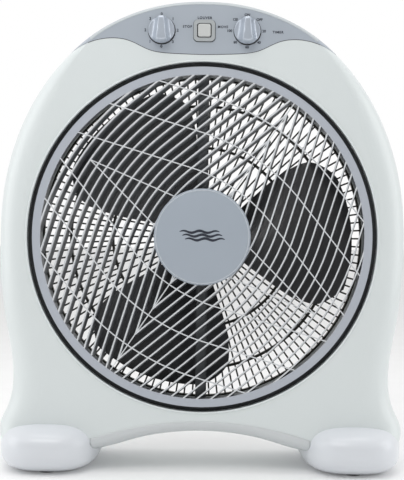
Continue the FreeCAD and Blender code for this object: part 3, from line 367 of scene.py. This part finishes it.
def add_piece(name, build, material, body, smooth=True):
    """Turn a bmesh into a piece that rides on a body of the frame."""
    mesh = bpy.data.meshes.new(name)
    bmesh.ops.recalc_face_normals(build, faces=build.faces)
    build.to_mesh(mesh)
    build.free()
    for face in mesh.polygons:
        face.use_smooth = smooth
    piece = bpy.data.objects.new(name, mesh)
    scene.collection.objects.link(piece)
    mesh.materials.append(material)
    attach(piece, body)
    return piece


def join_rings(build, rings, closed=False):
    """Skin from ring to ring; closed goes back to the first ring, open caps both ends."""
    count = len(rings[0])
    following = rings[1:] + rings[:1] if closed else rings[1:]
    for here, there in zip(rings, following):
        for index in range(count):
            after = (index + 1) % count
            build.faces.new((here[index], here[after], there[after], there[index]))
    if not closed:
        build.faces.new(rings[0])
        build.faces.new(rings[-1][::-1])


def turned(build, profile, centre, steps=192):
    """A closed ring round a Y axis; the profile lists (radius, y) in order."""
    rings = []
    for step in range(steps):
        angle = 2 * math.pi * step / steps
        ring = [build.verts.new((centre.x + radius * math.cos(angle), y,
                                 centre.z + radius * math.sin(angle))) for radius, y in profile]
        rings.append(ring)
    join_rings(build, rings, closed=True)


def surface_of(*names):
    """A search tree over the faces of CAD nodes, to lay prints on them."""
    vertices = []
    faces = []
    for name in names:
        mesh = nodes[name].data
        start = len(vertices)
        vertices.extend(vertex.co.copy() for vertex in mesh.vertices)
        faces.extend([start + index for index in face.vertices] for face in mesh.polygons)
    return BVHTree.FromPolygons(vertices, faces)


def front_of(tree, x, z):
    """Front surface at a place of the front view; a joint's narrow gap counts as closed."""
    slips = ((0, 0), (0, -JOINT_GAP), (-JOINT_GAP, 0), (JOINT_GAP, 0), (0, JOINT_GAP))
    for slip_x, slip_z in slips:
        start = Vector((x + slip_x, LOW.y - RAY_LEAD, z + slip_z))
        hit = tree.ray_cast(start, Vector((0, 1, 0)))
        if hit[0] is not None:
            return hit[0].y
    return HIGH.y


def band_section(build, tree, spots, proud, sunk):
    """Corners of a thin band laid on the front surface at (x, z) spots."""
    front = [Vector((x, front_of(tree, x, z), z)) for x, z in spots]
    return ([build.verts.new(point + Vector((0, -proud, 0))) for point in front]
            + [build.verts.new(point + Vector((0, sunk, 0))) for point in reversed(front)])


# ---------------------------------------------------------------- printed marks

INK_THICK = 0.00006
CAPITAL_SHARE = 0.73
STROKE_SHARE = 0.042
DIAL_RADIUS = 0.0181
LETTER_SPREAD = 0.0009
SPEED_TEXT = 0.0032
TIMER_TEXT = 0.0029
WORD_TEXT = 0.0028


def lettering(name, labels, tree, body, spacing=1.0):
    """Printed characters as one thin mesh; labels lists (text, x, z, height)."""
    build = bmesh.new()
    for text, x, z, height in labels:
        curve = bpy.data.curves.new(name + "_text", "FONT")
        curve.body = text
        curve.size = height / CAPITAL_SHARE
        curve.align_x = "CENTER"
        curve.align_y = "CENTER"
        curve.space_character = spacing
        curve.offset = height * STROKE_SHARE
        curve.resolution_u = 4
        curve.extrude = INK_THICK
        holder = bpy.data.objects.new(name + "_text", curve)
        mesh = bpy.data.meshes.new_from_object(holder)
        y = front_of(tree, x, z) - INK_THICK
        mesh.transform(Matrix.Translation((x, y, z)) @ Matrix.Rotation(math.radians(90), 4, "X"))
        build.from_mesh(mesh)
        bpy.data.objects.remove(holder)
        bpy.data.curves.remove(curve)
        bpy.data.meshes.remove(mesh)
    add_piece(name, build, INK, body, smooth=False)


def dial_labels(centre, texts, height):
    """Labels clockwise round a dial from the top; longer ones at the sides stand further out."""
    labels = []
    for index, text in enumerate(texts):
        angle = math.radians(90 - 360 * index / len(texts))
        spread = DIAL_RADIUS + LETTER_SPREAD * (len(text) - 1) * abs(math.cos(angle))
        labels.append((text, centre.x + spread * math.cos(angle),
                       centre.z + DIAL_RADIUS * math.sin(angle), height))
    return labels


def make_panel_print():
    """Numbers round both dials and the words beside the controls."""
    tree = surface_of("control_panel")
    speed = KNOBS["speed_knob"]
    timer = KNOBS["timer_knob"]
    lettering("speed_dial_numbers", dial_labels(speed, "01230123", SPEED_TEXT), tree, "housing")
    minutes = ["ON", "OFF", "20", "40", "60", "80", "100", "120"]
    lettering("timer_dial_numbers", dial_labels(timer, minutes, TIMER_TEXT), tree, "housing")
    places = {"LOUVER": (0.0004, 0.0143), "STOP": (-0.0190, 0.0043),
              "MOVE": (0.0208, 0.0043), "TIMER": (0.0826, -0.0010)}
    words = [(word, x, speed.z + rise, WORD_TEXT) for word, (x, rise) in places.items()]
    lettering("panel_words", words, tree, "housing", spacing=1.2)


def make_cap_mark():
    """Three breeze lines across the middle of the cap."""
    tree = surface_of("louver_cap")
    build = bmesh.new()
    steps = 72
    half_length = 0.0225
    lean, pitch, lift = 0.003, 0.0042, 0.0014
    wave_height, wave_count = 0.0011, 2.5
    half_stroke = 0.0015
    for row in (-1, 0, 1):
        edges = []
        for step in range(steps + 1):
            share = step / steps
            x = lean * row + half_length * (2 * share - 1)
            taper = math.sin(math.pi * share) ** 0.4
            wave = wave_height * math.sin(2 * math.pi * share * wave_count)
            z = AXIS.z + lift - pitch * row + wave
            half = half_stroke * max(taper, 0.05)
            ring = []
            for rise, depth in ((half, 0.0), (half, 1.0), (-half, 1.0), (-half, 0.0)):
                y = front_of(tree, x, z + rise) + INK_THICK - 2 * INK_THICK * depth
                ring.append(build.verts.new((x, y, z + rise)))
            edges.append(ring)
        join_rings(build, edges)
    add_piece("cap_breeze_mark", build, INK, "louver", smooth=False)


# ---------------------------------------------------------------- housing details

def make_opening_lip():
    """Rounded bead moulded round the front opening."""
    build = bmesh.new()
    inner, width = 0.1966, 0.0022
    height, root = 0.0009, 0.0006
    profile = [(inner, FACE_Y + root)]
    for step in range(9):
        angle = math.pi * step / 8
        profile.append((inner + width / 2 * (1 - math.cos(angle)),
                        FACE_Y - height * math.sin(angle)))
    profile.append((inner + width, FACE_Y + root))
    turned(build, profile, AXIS)
    add_piece("opening_lip", build, SHELL, "housing")


# ---------------------------------------------------------------- knobs

# The grip's top rounds off from this share of the radius down to this share of its height
CROWN_START = 0.80
END_HEIGHT = 0.30

# Circles over the knob's face and then its skirt: shares of the radius, depths behind the face
FACE_CIRCLES = (0.08, 0.16, 0.24, 0.32, 0.40, 0.48, 0.56, 0.64, 0.72, 0.78, 0.84, 0.89, 0.93, 0.96)
SKIRT_DEPTH = 0.0035
SKIRT_PROFILE = ((0.985, 0.0003), (0.997, 0.0008), (1.0, 0.0014), (1.0, SKIRT_DEPTH),
                 (0.93, SKIRT_DEPTH), (0.92, 0.0022), (0.40, 0.0022))


def grip_height(x, z, radius):
    """Share of the full rise: a wedge, narrow at the pointer, with hollow flanks and a crown."""
    along = (z + 0.92 * radius) / (1.9 * radius)
    half_top = radius * (0.36 - 0.20 * max(0.0, min(1.0, along)))
    flank_width = radius * (0.50 - 0.10 * along)
    outside = max(0.0, abs(x) - half_top) / flank_width
    flank = max(0.0, 1.0 - outside)
    flank = flank * flank * (1.6 - 0.6 * flank)
    past_crown = max(0.0, math.hypot(x, z) / radius - CROWN_START) / (1.0 - CROWN_START)
    crown = math.sqrt(max(0.0, 1.0 - min(1.0, past_crown) ** 2))
    end = END_HEIGHT + (1.0 - END_HEIGHT) * crown
    return flank * end * (1.0 - 0.10 * (x / radius) ** 2)


def make_knob(name, centre, body):
    """Skirted knob: a disc whose face rises into the grip."""
    low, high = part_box(name)
    radius = (high.x - low.x) / 2
    skirt = high.y - SKIRT_DEPTH
    rise = skirt - low.y
    spokes = 120
    directions = [(math.cos(2 * math.pi * spoke / spokes), math.sin(2 * math.pi * spoke / spokes))
                  for spoke in range(spokes)]
    build = bmesh.new()
    hub = build.verts.new((centre.x, skirt - rise * grip_height(0, 0, radius), centre.z))
    rings = []
    for share in FACE_CIRCLES:
        ring = []
        for across, up in directions:
            x, z = share * radius * across, share * radius * up
            y = skirt - rise * grip_height(x, z, radius)
            ring.append(build.verts.new((centre.x + x, y, centre.z + z)))
        rings.append(ring)
    for share, depth in SKIRT_PROFILE:
        reach = share * radius
        rings.append([build.verts.new((centre.x + reach * across, skirt + depth,
                                       centre.z + reach * up)) for across, up in directions])
    for spoke in range(spokes):
        after = (spoke + 1) % spokes
        build.faces.new((hub, rings[0][spoke], rings[0][after]))
        for inner, outer in zip(rings, rings[1:]):
            build.faces.new((inner[spoke], outer[spoke], outer[after], inner[after]))
    build.faces.new(rings[-1])
    knob = add_piece(name + "_skin", build, KNOB, body)
    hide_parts(name)


# ---------------------------------------------------------------- panel details

def gap_shadow_ring(name, centre, inner, outer, tree):
    """Painted shadow in the gap round a knob, as a thin black ring on the panel."""
    build = bmesh.new()
    y = front_of(tree, centre.x, centre.z - outer)
    profile = [(inner, y + INK_THICK), (inner, y - INK_THICK), (outer, y - INK_THICK),
               (outer, y + INK_THICK)]
    turned(build, profile, centre, steps=96)
    add_piece(name, build, BLACK, "housing", smooth=False)


# Halvings in the search for an edge
HALVINGS = 18

# The crown's outline lies between these distances from the axis
OUTLINE_NEAREST, OUTLINE_FARTHEST = 0.225, 0.290

BEZEL_CORNER = 0.0046
# Painted shadow round the switch bezel: its reach inside and outside the bezel's edge and its shift
# down and to the right
BEZEL_GAP_SHADOW_INSIDE, BEZEL_GAP_SHADOW_OUTSIDE = -0.0008, 0.0006
BEZEL_SHADOW_SHIFT = Vector((0.0001, 0, -0.0002))
CAP_BEAD_INSET = 0.0022
CAP_BEAD_HALF, CAP_BEAD_HEIGHT, CAP_BEAD_ROOT = 0.0005, 0.00035, 0.0003
# Painted shadow round the knobs: its shift down and to the right, and its reach inside and outside
# the knob's edge
DIAL_SHADOW_SHIFT = Vector((0.0003, 0, -0.0004))
DIAL_GAP_SHADOW_INSIDE, DIAL_GAP_SHADOW_OUTSIDE = -0.0012, 0.0008

# Panel seam: half length, and its section as (rise from the edge, height above the face)
SEAM_REACH = 0.130
SEAM_STEPS = 180
SEAM_SECTION = ((0.0001, -0.0004), (0.0001, 0.00012), (-0.0006, 0.00012), (-0.0006, -0.0004))


def panel_edge(tree, x):
    """Height of the panel's lower edge at x."""
    lead, slack = 0.02, 0.0025
    low, high = PANEL_LOW.z - 0.005, KNOBS["speed_knob"].z + 0.004
    for _ in range(HALVINGS):
        middle = (low + high) / 2
        hit = tree.ray_cast(Vector((x, FACE_Y - lead, middle)), Vector((0, 1, 0)), lead + slack)
        if hit[0] is None:
            low = middle
        else:
            high = middle
    return high


def make_panel_seam():
    """Dark joint line under the panel's waved lower edge, partly the joint and partly painted shadow
    under the edge.
    """
    tree = surface_of("control_panel")
    build = bmesh.new()
    rows = []
    for step in range(SEAM_STEPS + 1):
        x = SEAM_REACH * (2 * step / SEAM_STEPS - 1)
        z = panel_edge(tree, x)
        if z > KNOBS["speed_knob"].z:
            continue
        rows.append([build.verts.new((x, FACE_Y - depth, z + rise)) for rise, depth in SEAM_SECTION])
    join_rings(build, rows)
    add_piece("panel_seam", build, JOINT_SHADOW, "housing", smooth=False)


def reach_at(tree, ray, depth):
    """Distance from the axis along a ray at which the front surface falls back to a depth."""
    low, high = OUTLINE_NEAREST, OUTLINE_FARTHEST
    for _ in range(HALVINGS):
        middle = (low + high) / 2
        spot = AXIS + ray * middle
        if front_of(tree, spot.x, spot.z) > depth:
            high = middle
        else:
            low = middle
    return low


def make_crown_highlight():
    """Painted highlight along the crown: a thin pale band laid on the rounded front edge of the
    panel.
    """
    tree = surface_of("control_panel", "front_shell")
    build = bmesh.new()
    rows = []
    for step in range(RIM_STEPS + 1):
        angle = math.radians(RIM_START + (180 - 2 * RIM_START) * step / RIM_STEPS)
        ray = Vector((math.cos(angle), 0, math.sin(angle)))
        inner = reach_at(tree, ray, FACE_Y + FACE_SLACK) - RIM_OVERLAP
        outer = reach_at(tree, ray, FACE_Y + RIM_DEPTH)
        spots = [AXIS + ray * (inner + (outer - inner) * point / RIM_POINTS)
                 for point in range(RIM_POINTS + 1)]
        rows.append(band_section(build, tree, [(spot.x, spot.z) for spot in spots],
                                 RIM_PROUD, RIM_SUNK))
    join_rings(build, rows)
    add_piece("crown_highlight_band", build, CROWN_HIGHLIGHT, "housing")


def make_arch_shaded_band():
    """Faceted band along the arch, with a crisp upper crease, in a greyer copy of the shell plastic
    as painted shade on the bevel. It ends inside the feet.
    """
    tree = surface_of("front_shell")
    build = bmesh.new()
    rows = []
    for step in range(ARCH_STEPS + 1):
        x = ARCH_HALF * (2 * step / ARCH_STEPS - 1)
        bow = (x / ARCH_HALF) ** 2
        top = ARCH_CREASE - ARCH_FALL * bow
        if front_of(tree, x, top) > FACE_Y + ARCH_DEPTH:
            continue
        low = top
        while (front_of(tree, x, low - ARCH_SEARCH) < FACE_Y + ARCH_DEPTH
               and top - low < ARCH_TALLEST):
            low -= ARCH_SEARCH
        spots = [(x, top + (low - top) * point / ARCH_POINTS) for point in range(ARCH_POINTS + 1)]
        rows.append(band_section(build, tree, spots, ARCH_PROUD, ARCH_SUNK))
    join_rings(build, rows)
    add_piece("arch_shaded_band", build, ARCH_SHADE, "housing")


def rounded_square(half, corner, steps=10):
    """Outline of a square with round corners, as (x, z) pairs."""
    points = []
    for quarter in range(4):
        middle = math.radians(90 * quarter + 45)
        reach = (half - corner) * math.sqrt(2)
        cx, cz = reach * math.cos(middle), reach * math.sin(middle)
        for step in range(steps + 1):
            angle = math.radians(90 * quarter + 90 * step / steps)
            points.append((cx + corner * math.cos(angle), cz + corner * math.sin(angle)))
    return points


def make_bezel_gap_shadow():
    """Painted shadow in the gap round the switch bezel, shifted slightly down and to the right."""
    low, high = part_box("switch_bezel")
    middle = (low + high) / 2
    tree = surface_of("control_panel")
    half = (high.x - low.x) / 2
    y = front_of(tree, middle.x, middle.z - half - BEZEL_GAP_SHADOW_OUTSIDE)
    centre = middle + BEZEL_SHADOW_SHIFT
    build = bmesh.new()
    loops = []
    for grow, rise in ((BEZEL_GAP_SHADOW_INSIDE, INK_THICK), (BEZEL_GAP_SHADOW_INSIDE, -INK_THICK),
                       (BEZEL_GAP_SHADOW_OUTSIDE, -INK_THICK), (BEZEL_GAP_SHADOW_OUTSIDE, INK_THICK)):
        outline = rounded_square(half + grow, BEZEL_CORNER + grow)
        loops.append([build.verts.new((centre.x + x, y + rise, centre.z + z))
                      for x, z in outline])
    join_rings(build, loops, closed=True)
    add_piece("bezel_gap_shadow", build, JOINT_SHADOW, "housing", smooth=False)


def make_cap_rim():
    """Fine raised bead near the edge of the cap."""
    tree = surface_of("louver_cap")
    radius = (CAP_HIGH.x - CAP_LOW.x) / 2 - CAP_BEAD_INSET
    y = front_of(tree, AXIS.x + radius, AXIS.z)
    build = bmesh.new()
    profile = [(radius - CAP_BEAD_HALF, y + CAP_BEAD_ROOT)]
    for step in range(7):
        angle = math.pi * step / 6
        profile.append((radius - CAP_BEAD_HALF * math.cos(angle),
                        y - CAP_BEAD_HEIGHT * math.sin(angle)))
    profile.append((radius + CAP_BEAD_HALF, y + CAP_BEAD_ROOT))
    turned(build, profile, AXIS)
    add_piece("cap_rim", build, CAP_BEAD, "louver")


def make_dial_gap_shadows():
    """Painted shadows in the gaps round both knobs, shifted down and to the right."""
    tree = surface_of("control_panel")
    for name, centre in KNOBS.items():
        low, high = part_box(name)
        radius = (high.x - low.x) / 2
        gap_shadow_ring(name + "_gap_shadow", centre + DIAL_SHADOW_SHIFT, radius + DIAL_GAP_SHADOW_INSIDE,
                  radius + DIAL_GAP_SHADOW_OUTSIDE, tree)


make_panel_print()
make_panel_seam()
make_crown_highlight()
make_arch_shaded_band()
make_dial_gap_shadows()
make_bezel_gap_shadow()
make_cap_rim()
make_knob("speed_knob", KNOBS["speed_knob"], "speed_control")
make_knob("timer_knob", KNOBS["timer_knob"], "timer_control")
make_cap_mark()
make_opening_lip()
dress_nodes()
make_camera()
make_light()
make_floor()
